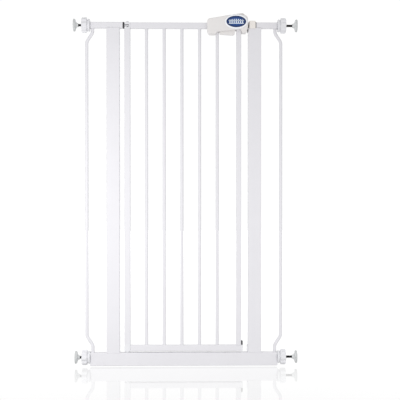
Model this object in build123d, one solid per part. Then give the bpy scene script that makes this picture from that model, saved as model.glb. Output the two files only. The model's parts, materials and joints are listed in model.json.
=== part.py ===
from build123d import *
import os
from math import cos, hypot, pi, sin

# Pressure-fit safety gate: a steel frame held between two walls by four threaded
# spindles, and a door that lifts and swings both ways on two pins.
#
# Frame of reference: the origin is under the middle of the bottom rail, on the floor.
# +X runs along the opening towards the latch, +Y goes through the gate away from the
# side with the badge, and +Z is up. All sizes are in millimetres.

os.makedirs("parts", exist_ok=True)

# ---------------------------------------------------------------- driving dimensions
gate_height = 1040.0          # floor to the top of the fixed arms
doorway_width = 388.0         # clear width between the two posts
bay_width = 50.0              # from a post's outer side to the open tube end with its hand nut

# tube sections
rail_height = 40.0            # bottom rail, rectangular tube
rail_depth = 20.0
post_width = 40.0             # posts, rectangular tube
post_depth = 20.0
arm_size = 18.0               # top arms, square tube
hinge_stile_width = 18.0      # door uprights, rectangular tube
latch_stile_width = 15.0
stile_depth = 16.0
door_rail_height = 18.0       # door rails, rectangular tube
door_rail_depth = 16.0
bar_diameter = 10.0           # round infill bars
frame_wall = 1.5              # wall of the rail, posts and arms
door_wall = 1.2               # wall of every door tube
tube_corner = 2.5             # outside corner radius of the square tubes

# door layout
door_floor_gap = 4.0          # between the bottom rail and the door
door_top_drop = 1.0           # the door's top lies this much under the arms' top
hinge_gap = 14.0              # between the hinge post and the door
arm_gap = 0.5                 # between the hinge-side arm's end cap and the door
latch_gap = 20.5              # between the door and the latch post
bar_count = 5
last_bar_gap = 52.5           # between the last infill bar and the latch stile; the trigger hangs here

# outer infill bars, cranked inwards to clear the hand nuts
outer_bar_inset = 8.0         # bar axis at the rail, inwards from the tube end
outer_bar_crank = 18.0        # outward offset of the long straight run
outer_bar_straight_end = 14.0 # straight run left at the arm
outer_bar_foot = 22.0         # straight run left at the bottom rail
outer_bar_crank_rise = 27.0   # height over which the bar cranks
outer_bar_bend = 22.0         # bend radius of the bar's axis

# hinge
swing_pin_diameter = 5.0      # top pin
swing_pin_head = 13.0
swing_pin_dome = 5.2          # height of the domed head
peg_diameter = 8.0            # bottom peg
bush_wall = 1.0
bush_flange = 0.8             # flange of the top bush
hinge_corner_rise = 4.0       # block between a rail's level and the stile tube
tongue_thickness = 4.0
tongue_width = 8.0
tongue_wall = 2.0             # steel around the top bush
tongue_rise = 6.0             # underside of the tongue over the underside of the arm
lift_height = 4.0             # how far the door lifts on its pins
bottom_bush_collar = 15.0
bottom_bush_depth = 14.0      # spigot of the bottom bush in the rail
arm_cap_thickness = 4.5       # plastic end of the hinge-side arm
edge_chamfer = 1.0            # on pegs, shoes and plates

# running fits and clearances
running_clearance = 0.05      # radial, shaft in bush
slide_clearance = 0.3         # sliding faces
face_clearance = 0.1          # faces that only turn on each other
swing_clearance = 0.5         # around the tongue while the door turns

# tube inserts
insert_clearance = 0.1
insert_length = 20.0
cut_over = 1.0                # how far a cutting shape passes the face it cuts

# handle housing
housing_depth = 38.0
housing_wall = 2.5
housing_length = 124.5
housing_keeper_gap = 3.0      # between the housing's right end and the keeper
housing_post_gap = 2.5        # between its lower right end and the latch post
housing_rise = 21.0           # top of the housing over the arms' top
housing_left_drop = 12.0      # how much lower its left end is
housing_foot_drop = 14.0      # foot beside the stile, under the arms' underside
housing_lobe_drop = 18.0      # lobe at the left end, under the arms' underside
housing_lobe_length = 26.0
housing_lobe_side = 6.0       # slope of the lobe's right side
housing_belly_drop = 11.5     # underside beside the lobe, under the arms' underside
housing_belly_rise = 7.5      # how much higher the underside is at the stile
housing_chin = 10.0           # start of the pulled-back lower right end, over the arms' underside
housing_foot_draft = 2.0
housing_edge = 4.0            # rounding of the outer edges
housing_rounds = {            # rounding of the outline's corners
    "heel": 9.0,
    "shoulder": 9.0,
    "back": 40.0,
    "nose": 13.0,
    "chin": 14.0,
    "cheek": 10.0,
    "foot": 4.0,
    "toe": 3.0,
    "belly": 4.0,
    "lobe": 6.0,
}
rib_thickness = 2.0
rib_reach = 12.0              # half height of a rib that holds the door's top rail
rib_insets = (8.0, 20.0)      # ribs from the housing's left end, and from the corner block
housing_screw_diameter = 3.0
housing_screw_head = 6.0
screw_head_sink = 0.6
screw_slot = (4.0, 0.8, 0.8)  # length, width and depth of the cross slot
screw_end_gap = 3.0           # between a screw hole's end and the outer face
boss_wall = 1.4               # plastic around a screw head
screw_left_inset = 16.0       # screws: from the housing's left end
screw_left_rise = 6.0         # over the door's top
screw_block_gap = 8.0         # from the corner block
screw_block_rise = 9.0        # over the door's top
screw_foot_inset = 9.5        # from the stile, in the foot
badge_width = 59.5
badge_height = 34.5
badge_thickness = 1.6
badge_border = 4.6            # raised oval border around the badge
badge_boss = 1.5              # how far the oval stands out of the housing
badge_right_inset = 7.3       # badge edge to the housing's right end
badge_top_inset = 4.2         # badge edge to the housing's top

# latch
bolt_width = 11.0             # in Y
bolt_height = 10.0
bolt_tail = 6.0               # length of the bolt held in its carriage
bolt_setback = 0.5            # retracted nose behind the housing's end
bolt_travel = 10.0
bolt_nose = 3.0               # length of the bevelled nose
bolt_play = 1.0               # around the bolt in the keeper
carriage_length = 16.0
carriage_width = 15.0
carriage_crown = 3.0          # plastic over the bolt
carriage_web = 6.0            # thickness of the upright under the thumb catch
carriage_web_length = 14.0
catch_width = 18.0            # thumb catch, in Y
catch_length = 37.0
catch_right_inset = 10.5      # from the housing's right end
catch_toe = 2.4               # height of the catch at its left end
catch_height = 6.2            # height at its right end
catch_slope = 6.0             # length of its steep right end
catch_corner = 4.0
groove_count = 5              # finger grooves across the top
groove_pitch = 4.0
groove_radius = 0.6
groove_inset = 3.0
latch_block_wall = 8.0        # part of the corner block that the spring bears on
latch_block_sill = 4.5        # part of it that lies on the stile
latch_block_gap = 4.0         # between the block's sill and the bolt
spring_diameter = 8.0
spring_wire = 1.0
spring_turns = 5.0
spring_length = 13.0          # compressed behind the retracted bolt

# trigger
trigger_pin_diameter = 3.0
trigger_end_gap = 4.0         # between the lever's free end and the stile
trigger_slot_gap = 1.5        # between the lever's free end and the shells
trigger_bar_gap = 1.0         # between the lever's eye and the last infill bar
trigger_rest_gap = 1.5        # between the squeezed lever and the corner block
trigger_width = 16.0
trigger_root = 11.5           # height of the lever at its eye
trigger_thickness = 14.5      # height of the lever at its free end
trigger_tip = 6.0             # length of its rounded free end
trigger_tip_rise = 4.0
trigger_round = 3.0
trigger_eye = 4.2             # outer radius of the lever's eye
trigger_drop = 8.0            # pivot under the arms' underside
trigger_seat = 2.0            # plastic around the pin in the shells
seat_lap = 0.5                # how far seats, bosses and ribs run into the shells' walls

# keeper
keeper_length = 19.0
keeper_depth = 25.4
keeper_round = 3.0
keeper_skirt = 1.0            # reach of the side skirts below the arm
keeper_crown = 4.5            # thickness over the arm
keeper_face_gap = 3.5         # keeper's face beyond the post's inner side
keeper_pocket_floor = 0.5     # plastic between the pocket and the arm's end
pocket_end_gap = 2.0          # between the extended bolt and the pocket's floor
# rubber buffer beside the keeper: its face lies just outside the housing's swing
buffer_thickness = 1.5        # on the post
buffer_top_thickness = 2.1    # on the keeper's face
buffer_half_width = 9.5
buffer_drop = 10.0            # reach below the arms' underside
buffer_bend = (3.0, 1.0, 7.0) # drop and rise of its bend about the arms' underside
buffer_pocket_gap = 0.2       # beside the keeper's pocket

# bottom latch
shoe_length = 5.0
shoe_lug_rise = 13.0
shoe_lug_width = 6.0
shoe_lug_round = 2.5
guide_plate_thickness = 2.5
guide_plate_height = 20.0
guide_plate_depth = 18.0
guide_plate_gap = 2.0         # between the plate and the rail

# wall fixings
spindle_diameter = 8.0
spindle_length = 100.0
spindle_seat = 9.0            # how deep the rod sits in the pad's hub
bottom_spindle_height = 25.0
top_spindle_drop = 9.0        # spindle axis under the arms' top
thread_clearance = 0.05
plug_clearance = 0.4          # rod in the end plug
plug_length = 25.0
plug_flange = 2.0
plug_inset = 0.6              # how much smaller the plug's flange is than the tube
nut_diameter = 48.0
nut_grip = 16.0               # thickness of the lobed wheel
nut_flange_diameter = 38.0
nut_flange = 9.0
nut_lobes = 8
nut_scallop = 6.0             # radius of the scallops between the lobes
nut_scallop_depth = 3.0
nut_lobe_round = 2.0
nut_edge = 1.5
pad_diameter = 38.0
pad_thickness = 4.0
hub_length = 11.0
hub_tip_diameter = 13.0
hub_rim = 1.5                 # thickness of the hub's edge at the pad
hub_inset = 1.0               # the hub's edge inside the pad's
hub_tip_draft = 1.0
hub_neck = 5.0                # flared length of the hub
hub_flare = (2.6, 2.0)        # a point of the flare, outwards from the neck and back from the edge
pad_edge = 0.8
# bare rod between each hand nut and its hub, as the gate stands
bare_rod = {
    "hinge_side_top": 10.0,
    "hinge_side_bottom": 6.0,
    "latch_side_top": 19.5,
    "latch_side_bottom": 19.5,
}

# ---------------------------------------------------------------- derived positions
post_inner = doorway_width / 2
post_centre = post_inner + post_width / 2
frame_end = post_inner + post_width + bay_width
arm_under = gate_height - arm_size
door_left = -post_inner + hinge_gap
door_right = post_inner - latch_gap
hinge_x = door_left + hinge_stile_width / 2
latch_stile_x = door_right - latch_stile_width / 2
rail_left = door_left + hinge_stile_width
door_bottom = rail_height + door_floor_gap
door_top = gate_height - door_top_drop
top_rail_z = door_top - door_rail_height / 2
bottom_rail_z = door_bottom + door_rail_height / 2
bars_end = door_right - latch_stile_width - last_bar_gap
bar_pitch = (bars_end - rail_left) / bar_count
first_bar_x = rail_left + bar_pitch - bar_diameter / 2

tongue_under = arm_under + tongue_rise
tongue_top = tongue_under + tongue_thickness
slot_under = tongue_under - lift_height - swing_clearance
slot_top = tongue_top + bush_flange + swing_clearance
tongue_eye = swing_pin_diameter / 2 + bush_wall + tongue_wall
# the circle that the stile's rounded corners sweep about the hinge
stile_sweep = tube_corner + hypot(hinge_stile_width / 2 - tube_corner, stile_depth / 2 - tube_corner)

keeper_face = post_inner + keeper_face_gap
keeper_back = keeper_face + keeper_length
housing_right = keeper_face - housing_keeper_gap
housing_left = housing_right - housing_length
housing_top = gate_height + housing_rise
catch_left = housing_right - catch_right_inset - catch_length
bolt_z = gate_height - arm_size / 2
bolt_tip = housing_right - bolt_setback
carriage_right = housing_right - housing_wall - bolt_travel - slide_clearance
carriage_left = carriage_right - carriage_length
spring_start = carriage_left - spring_length
block_right = spring_start
block_left = block_right - latch_block_wall
latch_block_top = bolt_z - bolt_height / 2 - latch_block_gap
latch_block_under = latch_block_top - latch_block_sill
pocket_depth = bolt_travel - (keeper_face - bolt_tip) + pocket_end_gap
latch_arm_start = keeper_face + pocket_depth + keeper_pocket_floor + slide_clearance
last_bar_x = first_bar_x + (bar_count - 1) * bar_pitch
trigger_x = last_bar_x + bar_diameter / 2 + trigger_bar_gap + trigger_eye
trigger_z = arm_under - trigger_drop
trigger_end = door_right - latch_stile_width - trigger_end_gap
trigger_top = latch_block_under - trigger_rest_gap
housing_half = housing_depth / 2
web_left = carriage_left
catch_under = housing_top + slide_clearance
cavity_half = housing_half - housing_wall
badge_x = housing_right - badge_right_inset - badge_width / 2
badge_z = housing_top - badge_top_inset - badge_height / 2
badge_face = -housing_half - badge_boss
screw_places = [
    (housing_left + screw_left_inset, door_top + screw_left_rise),
    (block_left - screw_block_gap, door_top + screw_block_rise),
    (door_right + screw_foot_inset, arm_under - housing_foot_drop / 2),
]


# ---------------------------------------------------------------- helpers
def block(x0, x1, y0, y1, z0, z1):
    """A plain block between two corners."""
    box = Box(x1 - x0, y1 - y0, z1 - z0)
    return Pos((x0 + x1) / 2, (y0 + y1) / 2, (z0 + z1) / 2) * box


def rod(radius, start, end):
    """A round rod from one point to another."""
    axis = Vector(*end) - Vector(*start)
    plane = Plane(origin=start, z_dir=axis)
    return extrude(plane * Circle(radius), axis.length)


def along_x(width, height, corner, x0, x1, z, y=0.0):
    """A rounded rectangle in Y and Z, extruded along X."""
    plane = Plane(origin=(x0, y, z), x_dir=(0, 1, 0), z_dir=(1, 0, 0))
    return extrude(plane * RectangleRounded(width, height, corner), x1 - x0)


def along_z(width, depth, corner, z0, z1, x):
    """A rounded rectangle in X and Y, extruded along Z."""
    plane = Plane(origin=(x, 0, z0))
    return extrude(plane * RectangleRounded(width, depth, corner), z1 - z0)


def tube_x(depth, height, wall, x0, x1, z):
    """A rectangular tube along X."""
    outer = along_x(depth, height, tube_corner, x0, x1, z)
    less = 2 * wall
    return outer - along_x(depth - less, height - less, tube_corner - wall, x0 - cut_over, x1 + cut_over, z)


def tube_z(width, depth, wall, z0, z1, x):
    """A rectangular tube along Z."""
    outer = along_z(width, depth, tube_corner, z0, z1, x)
    less = 2 * wall
    return outer - along_z(width - less, depth - less, tube_corner - wall, z0 - cut_over, z1 + cut_over, x)


def insert_x(depth, height, wall, x0, x1, z):
    """A solid plug that fits inside a rectangular tube along X."""
    less = 2 * (wall + insert_clearance)
    return along_x(depth - less, height - less, tube_corner - wall, x0, x1, z)


def insert_z(width, depth, wall, z0, z1, x):
    """A solid plug that fits inside a rectangular tube along Z."""
    less = 2 * (wall + insert_clearance)
    return along_z(width - less, depth - less, tube_corner - wall, z0, z1, x)


def save(name, shape):
    """Writes one sub-part."""
    shape.label = name
    export_step(shape, os.path.join("parts", name + ".step"))


# ---------------------------------------------------------------- fixed frame
def frame_bottom_rail():
    x_end = frame_end - plug_flange
    tube = tube_x(rail_depth, rail_height, frame_wall, -x_end, x_end, rail_height / 2)
    socket = peg_diameter / 2 + running_clearance + bush_wall + running_clearance
    return tube - rod(socket, (hinge_x, 0, rail_height / 2), (hinge_x, 0, rail_height + cut_over))


def post(x):
    return tube_z(post_width, post_depth, frame_wall, rail_height, arm_under, x)


def hinge_side_arm():
    x0 = -frame_end + plug_flange
    x1 = door_left - arm_gap - arm_cap_thickness
    return tube_x(arm_size, arm_size, frame_wall, x0, x1, bolt_z)


def latch_side_arm():
    return tube_x(arm_size, arm_size, frame_wall, latch_arm_start, frame_end - plug_flange, bolt_z)


def outer_bar(side):
    """A cranked round tube from the bottom rail to the arm; side is -1 or 1."""
    x_in = side * (frame_end - outer_bar_inset)
    x_out = x_in + side * outer_bar_crank
    z_low = rail_height + outer_bar_foot
    z_high = arm_under - outer_bar_straight_end
    points = [
        (x_in, 0, rail_height),
        (x_in, 0, z_low),
        (x_out, 0, z_low + outer_bar_crank_rise),
        (x_out, 0, z_high - outer_bar_crank_rise),
        (x_in, 0, z_high),
        (x_in, 0, arm_under),
    ]
    path = FilletPolyline(*points, radius=outer_bar_bend)
    ring = Circle(bar_diameter / 2) - Circle(bar_diameter / 2 - door_wall)
    return sweep(Plane(origin=points[0], z_dir=(0, 0, 1)) * ring, path)


def spindle_height(place):
    return gate_height - top_spindle_drop if place.endswith("top") else bottom_spindle_height


def side_of(place):
    return -1 if place.startswith("hinge") else 1


def end_plug(place):
    """A plug in an open tube end, with a collar and a clear hole for the spindle."""
    side = side_of(place)
    z = spindle_height(place)
    if place.endswith("top"):
        depth, height, middle = arm_size, arm_size, bolt_z
    else:
        depth, height, middle = rail_depth, rail_height, rail_height / 2
    x_tube = side * (frame_end - plug_flange)
    x_inner = x_tube - side * plug_length
    low, high = sorted((x_inner, x_tube))
    plug = insert_x(depth, height, frame_wall, low, high, middle)
    low, high = sorted((x_tube, side * frame_end))
    less = 2 * plug_inset
    plug += along_x(depth - less, height - less, tube_corner - plug_inset, low, high, middle)
    hole = spindle_diameter / 2 + plug_clearance
    return plug - rod(hole, (x_inner - side * cut_over, 0, z), (side * (frame_end + cut_over), 0, z))


def hinge_arm_cap():
    """The plastic end of the hinge-side arm, slit for the steel tongue and hollowed for
    the door's turning corner."""
    x1 = door_left - arm_gap
    x0 = x1 - arm_cap_thickness
    cap = along_x(arm_size, arm_size, tube_corner, x0, x1, bolt_z)
    cap += insert_x(arm_size, arm_size, frame_wall, x0 - insert_length, x0, bolt_z)
    half = tongue_width / 2
    cap -= block(x0 - insert_length - cut_over, x1 + cut_over, -half, half, tongue_under, tongue_top)
    low, high = arm_under - cut_over, gate_height + cut_over
    return cap - rod(stile_sweep + swing_clearance, (hinge_x, 0, low), (hinge_x, 0, high))


def top_hinge_tongue():
    """The steel tongue that stands out of the arm, with the eye that the top pin turns in."""
    x0 = door_left - arm_gap - arm_cap_thickness - insert_length
    bar = block(x0, hinge_x, -tongue_width / 2, tongue_width / 2, tongue_under, tongue_top)
    bar += rod(tongue_eye, (hinge_x, 0, tongue_under), (hinge_x, 0, tongue_top))
    hole = swing_pin_diameter / 2 + running_clearance + bush_wall + running_clearance
    return bar - rod(hole, (hinge_x, 0, tongue_under - cut_over), (hinge_x, 0, tongue_top + cut_over))


def keeper():
    """The plastic keeper: a cap over the arm's inner end, with a pocket for the bolt."""
    top = gate_height + keeper_crown
    half = keeper_depth / 2
    under = arm_under - keeper_skirt
    body = block(keeper_face, keeper_back, -half, half, under, top)
    body = fillet(body.edges().filter_by(Axis.X).sort_by(Axis.Z)[-2:], keeper_round)
    body = chamfer(body.faces().sort_by(Axis.X)[0].edges().sort_by(Axis.Z)[-1], edge_chamfer)
    # room for the arm's end, and for the post's top between the skirts
    arm_half = arm_size / 2 + insert_clearance
    body -= block(
        latch_arm_start - slide_clearance, keeper_back + cut_over, -arm_half, arm_half,
        arm_under - insert_clearance, gate_height + insert_clearance,
    )
    post_half = post_depth / 2 + insert_clearance
    body -= block(
        keeper_face - cut_over, keeper_back + cut_over, -post_half, post_half,
        under - cut_over, arm_under + insert_clearance,
    )
    # the pocket is open towards the door
    wide = bolt_width / 2 + bolt_play
    high = bolt_height / 2 + bolt_play
    far = keeper_face + pocket_depth
    return body - block(keeper_face - cut_over, far, -wide, wide, bolt_z - high, bolt_z + high)


def keeper_buffer():
    """The dark rubber buffer on the post and the keeper's face, beside the bolt's pocket."""
    face = post_inner - buffer_thickness
    top_face = keeper_face - buffer_top_thickness
    bend_drop, bend_rise, bend_top = buffer_bend
    outline = make_face(Polyline(
        (post_inner, arm_under - buffer_drop),
        (face, arm_under - buffer_drop),
        (face, arm_under - bend_drop),
        (face + edge_chamfer, arm_under + bend_rise),
        (top_face, arm_under + bend_top),
        (top_face, gate_height),
        (keeper_face, gate_height),
        (keeper_face, arm_under + insert_clearance),
        (post_inner, arm_under + insert_clearance),
        close=True,
    ))
    half = buffer_half_width
    buffer = Pos(0, half, 0) * extrude(Plane.XZ * outline, 2 * half)
    wide = bolt_width / 2 + bolt_play + buffer_pocket_gap
    low = bolt_z - bolt_height / 2 - bolt_play - buffer_pocket_gap
    return buffer - block(face - cut_over, keeper_face + cut_over, -wide, wide, low, gate_height + cut_over)


def bottom_guide_plate():
    """A thin plate on the latch post that the door's bottom shoe passes."""
    x1 = post_inner
    x0 = x1 - guide_plate_thickness
    half = guide_plate_depth / 2
    z0 = rail_height + guide_plate_gap
    plate = block(x0, x1, -half, half, z0, z0 + guide_plate_height)
    return chamfer(plate.faces().sort_by(Axis.X)[0].edges(), edge_chamfer)


# ---------------------------------------------------------------- hinge bushes
def top_hinge_bush():
    """A flanged sleeve in the eye of the tongue; it turns with the pin."""
    bore = swing_pin_diameter / 2 + running_clearance
    sleeve = rod(bore + bush_wall, (hinge_x, 0, tongue_under), (hinge_x, 0, tongue_top + bush_flange))
    sleeve += rod(
        tongue_eye,
        (hinge_x, 0, tongue_top + face_clearance),
        (hinge_x, 0, tongue_top + bush_flange),
    )
    top = tongue_top + bush_flange + cut_over
    return sleeve - rod(bore, (hinge_x, 0, tongue_under - cut_over), (hinge_x, 0, top))


def bottom_hinge_bush():
    """A collar on the rail with a spigot in it; the door stands on the collar."""
    bore = peg_diameter / 2 + running_clearance
    low = rail_height - bottom_bush_depth
    spigot = rod(bore + bush_wall, (hinge_x, 0, low), (hinge_x, 0, rail_height + cut_over))
    collar = rod(
        bottom_bush_collar / 2,
        (hinge_x, 0, rail_height + face_clearance),
        (hinge_x, 0, door_bottom - face_clearance),
    )
    return spigot + collar - rod(bore, (hinge_x, 0, low - cut_over), (hinge_x, 0, door_bottom))


# ---------------------------------------------------------------- door
def door_top_rail():
    return tube_x(door_rail_depth, door_rail_height, door_wall, rail_left, block_left, top_rail_z)


def door_bottom_rail():
    return tube_x(door_rail_depth, door_rail_height, door_wall, rail_left, door_right, bottom_rail_z)


def hinge_stile():
    z0 = door_bottom + door_rail_height + hinge_corner_rise
    z1 = slot_under - hinge_corner_rise
    return tube_z(hinge_stile_width, stile_depth, door_wall, z0, z1, hinge_x)


def latch_stile():
    z0 = door_bottom + door_rail_height
    return tube_z(latch_stile_width, stile_depth, door_wall, z0, latch_block_under, latch_stile_x)


def door_bar(number):
    """One round infill bar between the door's rails."""
    x = first_bar_x + (number - 1) * bar_pitch
    z0 = door_bottom + door_rail_height
    z1 = door_top - door_rail_height
    bar = rod(bar_diameter / 2, (x, 0, z0), (x, 0, z1))
    return bar - rod(bar_diameter / 2 - door_wall, (x, 0, z0 - cut_over), (x, 0, z1 + cut_over))


def top_hinge_corner():
    """The corner block that joins stile and top rail, slotted for the tongue."""
    z0 = slot_under - hinge_corner_rise
    corner = along_z(hinge_stile_width, stile_depth, tube_corner, z0, door_top, hinge_x)
    corner += insert_z(hinge_stile_width, stile_depth, door_wall, z0 - insert_length, z0, hinge_x)
    corner += insert_x(
        door_rail_depth, door_rail_height, door_wall, hinge_x, rail_left + insert_length, top_rail_z
    )
    # the slot stays clear of the tongue through the whole swing and the whole lift
    reach = tongue_width / 2 + swing_clearance
    half = stile_depth
    corner -= block(door_left - cut_over, hinge_x + reach, -half, half, slot_under, slot_top)
    corner -= rod(tongue_eye + swing_clearance, (hinge_x, 0, slot_under), (hinge_x, 0, slot_top))
    hole = swing_pin_diameter / 2
    return corner - rod(hole, (hinge_x, 0, z0), (hinge_x, 0, door_top + cut_over))


def top_hinge_pin():
    """The top pin, with a domed head that shows on the corner block."""
    z0 = slot_under - hinge_corner_rise
    pin = rod(swing_pin_diameter / 2, (hinge_x, 0, z0), (hinge_x, 0, door_top))
    radius = swing_pin_head / 2
    # spherical cap: its radius follows from the head's width and height
    ball = (radius**2 + swing_pin_dome**2) / (2 * swing_pin_dome)
    dome = Pos(hinge_x, 0, door_top + swing_pin_dome - ball) * Sphere(ball)
    top = door_top + swing_pin_dome + cut_over
    keep = rod(radius + cut_over, (hinge_x, 0, door_top), (hinge_x, 0, top))
    return pin + (dome & keep)


def bottom_hinge_corner():
    """The corner block that joins stile and bottom rail and holds the peg."""
    z1 = door_bottom + door_rail_height + hinge_corner_rise
    corner = along_z(hinge_stile_width, stile_depth, tube_corner, door_bottom, z1, hinge_x)
    corner += insert_z(hinge_stile_width, stile_depth, door_wall, z1, z1 + insert_length, hinge_x)
    corner += insert_x(
        door_rail_depth, door_rail_height, door_wall, hinge_x, rail_left + insert_length, bottom_rail_z
    )
    return corner - rod(peg_diameter / 2, (hinge_x, 0, door_bottom - cut_over), (hinge_x, 0, z1))


def bottom_hinge_peg():
    """The steel peg under the hinge stile."""
    z0 = rail_height - bottom_bush_depth
    z1 = door_bottom + door_rail_height + hinge_corner_rise
    peg = rod(peg_diameter / 2, (hinge_x, 0, z0), (hinge_x, 0, z1))
    return chamfer(peg.edges().sort_by(Axis.Z)[0], edge_chamfer)


def latch_block():
    """The corner block in the handle that joins the latch stile and the top rail."""
    half = door_rail_depth / 2
    z0 = latch_block_under
    joined = block(block_left, block_right, -half, half, z0, door_top)
    joined += block(block_left, door_right, -half, half, z0, latch_block_top)
    joined += insert_x(
        door_rail_depth, door_rail_height, door_wall, block_left - insert_length, block_left, top_rail_z
    )
    joined += insert_z(latch_stile_width, stile_depth, door_wall, z0 - insert_length, z0, latch_stile_x)
    return joined


def bottom_latch_shoe():
    """The plastic end of the bottom rail at the latch side."""
    x1 = door_right + shoe_length
    shoe = along_x(door_rail_depth, door_rail_height, tube_corner, door_right, x1, bottom_rail_z)
    shoe += insert_x(
        door_rail_depth, door_rail_height, door_wall, door_right - insert_length, door_right, bottom_rail_z
    )
    return chamfer(shoe.faces().sort_by(Axis.X)[-1].edges(), edge_chamfer)


def shoe_buffer():
    """The dark rubber buffer above the shoe, against the side of the stile."""
    half = shoe_lug_width / 2
    z0 = door_bottom + door_rail_height
    lug = block(door_right, door_right + shoe_length, -half, half, z0, z0 + shoe_lug_rise)
    return fillet(lug.edges().filter_by(Axis.Y).sort_by(Axis.X)[-2:].sort_by(Axis.Z)[-1], shoe_lug_round)


# ---------------------------------------------------------------- handle
def rounded_outline(corners):
    """A closed outline from (x, z, rounding radius), facing -Y."""
    sketch = make_face(Polyline(*[(x, z) for x, z, radius in corners], close=True))
    for x, z, radius in corners:
        if radius:
            sketch = fillet(sketch.vertices().sort_by_distance((x, z, 0))[0], radius)
    return sketch


def housing_outline():
    """The handle seen from the front: a lobe at its left end, a rising underside, a foot
    beside the stile, and a top that rises to the thumb catch."""
    left, right = housing_left, housing_right
    top = housing_top
    lobe = arm_under - housing_lobe_drop
    foot = arm_under - housing_foot_drop
    belly = arm_under - housing_belly_drop
    lobe_right = left + housing_lobe_length
    foot_right = post_inner - housing_post_gap
    rounds = housing_rounds
    return rounded_outline([
        (left, lobe + rounds["heel"], rounds["heel"]),
        (left, top - housing_left_drop, rounds["shoulder"]),
        (catch_left - rounds["shoulder"], top, rounds["back"]),
        (right - edge_chamfer, top, rounds["nose"]),
        (right, arm_under + housing_chin, rounds["chin"]),
        (foot_right, arm_under - edge_chamfer, rounds["cheek"]),
        (foot_right - housing_foot_draft, foot, rounds["foot"]),
        (door_right + edge_chamfer, foot, rounds["toe"]),
        (door_right - edge_chamfer, belly + housing_belly_rise, rounds["belly"]),
        (lobe_right + housing_lobe_side, belly, rounds["lobe"]),
        (lobe_right, lobe, rounds["lobe"]),
        (left + housing_lobe_side, lobe, rounds["lobe"]),
    ])


def housing_shell(front):
    """One half of the handle, as a hollow shell with ribs and screw bosses; the front
    half carries the raised oval for the badge."""
    outline = housing_outline()
    shell = extrude(Plane.XZ * outline, housing_half)
    shell = fillet(shell.faces().sort_by(Axis.Y)[0].edges(), housing_edge)
    if front:
        oval = Plane(origin=(badge_x, 0, badge_z), x_dir=(1, 0, 0), z_dir=(0, -1, 0))
        border = Ellipse(badge_width / 2 + badge_border, badge_height / 2 + badge_border)
        raised = extrude(oval * border, housing_half + badge_boss)
        shell += raised - block(
            housing_left, housing_right, -cavity_half, cut_over, rail_height, gate_height * 2
        )
    cavity = extrude(Plane.XZ * offset(outline, -housing_wall), cavity_half)
    shell -= cavity
    # ribs that hold the door's top rail, and bosses for the screws
    seat = -cavity_half - seat_lap
    for x in (housing_left + rib_insets[0], block_left - rib_insets[1]):
        shell += block(x, x + rib_thickness, seat, 0, top_rail_z - rib_reach, top_rail_z + rib_reach)
    for x, z in screw_places:
        shell += rod(housing_screw_head / 2 + boss_wall, (x, 0, z), (x, seat, z))
    # the door's rail and stile enter the shell, and the trigger hangs out of it
    gap = slide_clearance / 2
    rail = along_x(
        door_rail_depth + 2 * gap, door_rail_height + 2 * gap, tube_corner,
        housing_left - cut_over, block_left + gap, top_rail_z,
    )
    shell -= rail
    half = stile_depth / 2 + gap
    shell -= block(
        door_right - latch_stile_width - gap, door_right + gap, -half, half, rail_height, arm_under
    )
    shell -= block(
        block_left - gap, door_right, -half, half, latch_block_under - gap, latch_block_top
    )
    shell -= rod(bar_diameter / 2 + gap, (last_bar_x, 0, rail_height), (last_bar_x, 0, top_rail_z))
    side = trigger_width / 2 + slide_clearance
    shell -= block(
        trigger_x - trigger_eye - slide_clearance, trigger_end + trigger_slot_gap, -side, side,
        rail_height, latch_block_under,
    )
    # the bolt comes out of the right end, and the thumb catch's upright out of the top
    wide = bolt_width / 2 + slide_clearance
    high = bolt_height / 2 + slide_clearance
    shell -= block(
        carriage_right, housing_right + cut_over, -wide, wide, bolt_z - high, bolt_z + high
    )
    web = carriage_web / 2 + slide_clearance
    shell -= block(
        web_left - slide_clearance, web_left + carriage_web_length + bolt_travel + slide_clearance,
        -web, web, door_top, housing_top + cut_over,
    )
    # seat of the trigger's pin
    pin = trigger_pin_diameter / 2
    shell += rod(pin + trigger_seat, (trigger_x, -side, trigger_z), (trigger_x, seat, trigger_z))
    shell -= rod(pin, (trigger_x, cut_over, trigger_z), (trigger_x, -cavity_half, trigger_z))
    if front:
        for x, z in screw_places:
            end = (x, -cavity_half + screw_end_gap, z)
            shell -= rod(housing_screw_diameter / 2, (x, cut_over, z), end)
        return shell
    for x, z in screw_places:
        end = (x, -housing_half - cut_over, z)
        shell -= rod(housing_screw_diameter / 2, (x, cut_over, z), end)
        shell -= rod(housing_screw_head / 2, (x, -cavity_half, z), end)
    return mirror(shell, about=Plane.XZ)


def housing_screws():
    """The screws that close the housing from the back, one solid each."""
    length, width, depth = screw_slot
    face = housing_half - screw_head_sink
    screws = []
    for x, z in screw_places:
        start = (x, -cavity_half + screw_end_gap + cut_over, z)
        screw = rod(housing_screw_diameter / 2, start, (x, cavity_half, z))
        screw += rod(housing_screw_head / 2, (x, cavity_half, z), (x, face, z))
        for half_x, half_z in ((length / 2, width / 2), (width / 2, length / 2)):
            screw -= block(x - half_x, x + half_x, face - depth, face + cut_over, z - half_z, z + half_z)
        screws.append(screw)
    return Compound(children=screws)


def badge():
    """The oval badge plate, slightly domed at its edge."""
    plane = Plane(origin=(badge_x, badge_face, badge_z), x_dir=(1, 0, 0), z_dir=(0, -1, 0))
    plate = extrude(plane * Ellipse(badge_width / 2, badge_height / 2), badge_thickness)
    return fillet(plate.faces().sort_by(Axis.Y)[0].edges(), badge_thickness / 2)


# ---------------------------------------------------------------- latch
def latch_bolt():
    """The steel bolt with a bevelled nose; it slides into the keeper's pocket."""
    half_y = bolt_width / 2
    half_z = bolt_height / 2
    bolt = block(carriage_right - bolt_tail, bolt_tip, -half_y, half_y, bolt_z - half_z, bolt_z + half_z)
    nose = bolt.faces().sort_by(Axis.X)[-1].edges().filter_by(Axis.Z)
    return chamfer(nose, bolt_nose)


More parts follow.
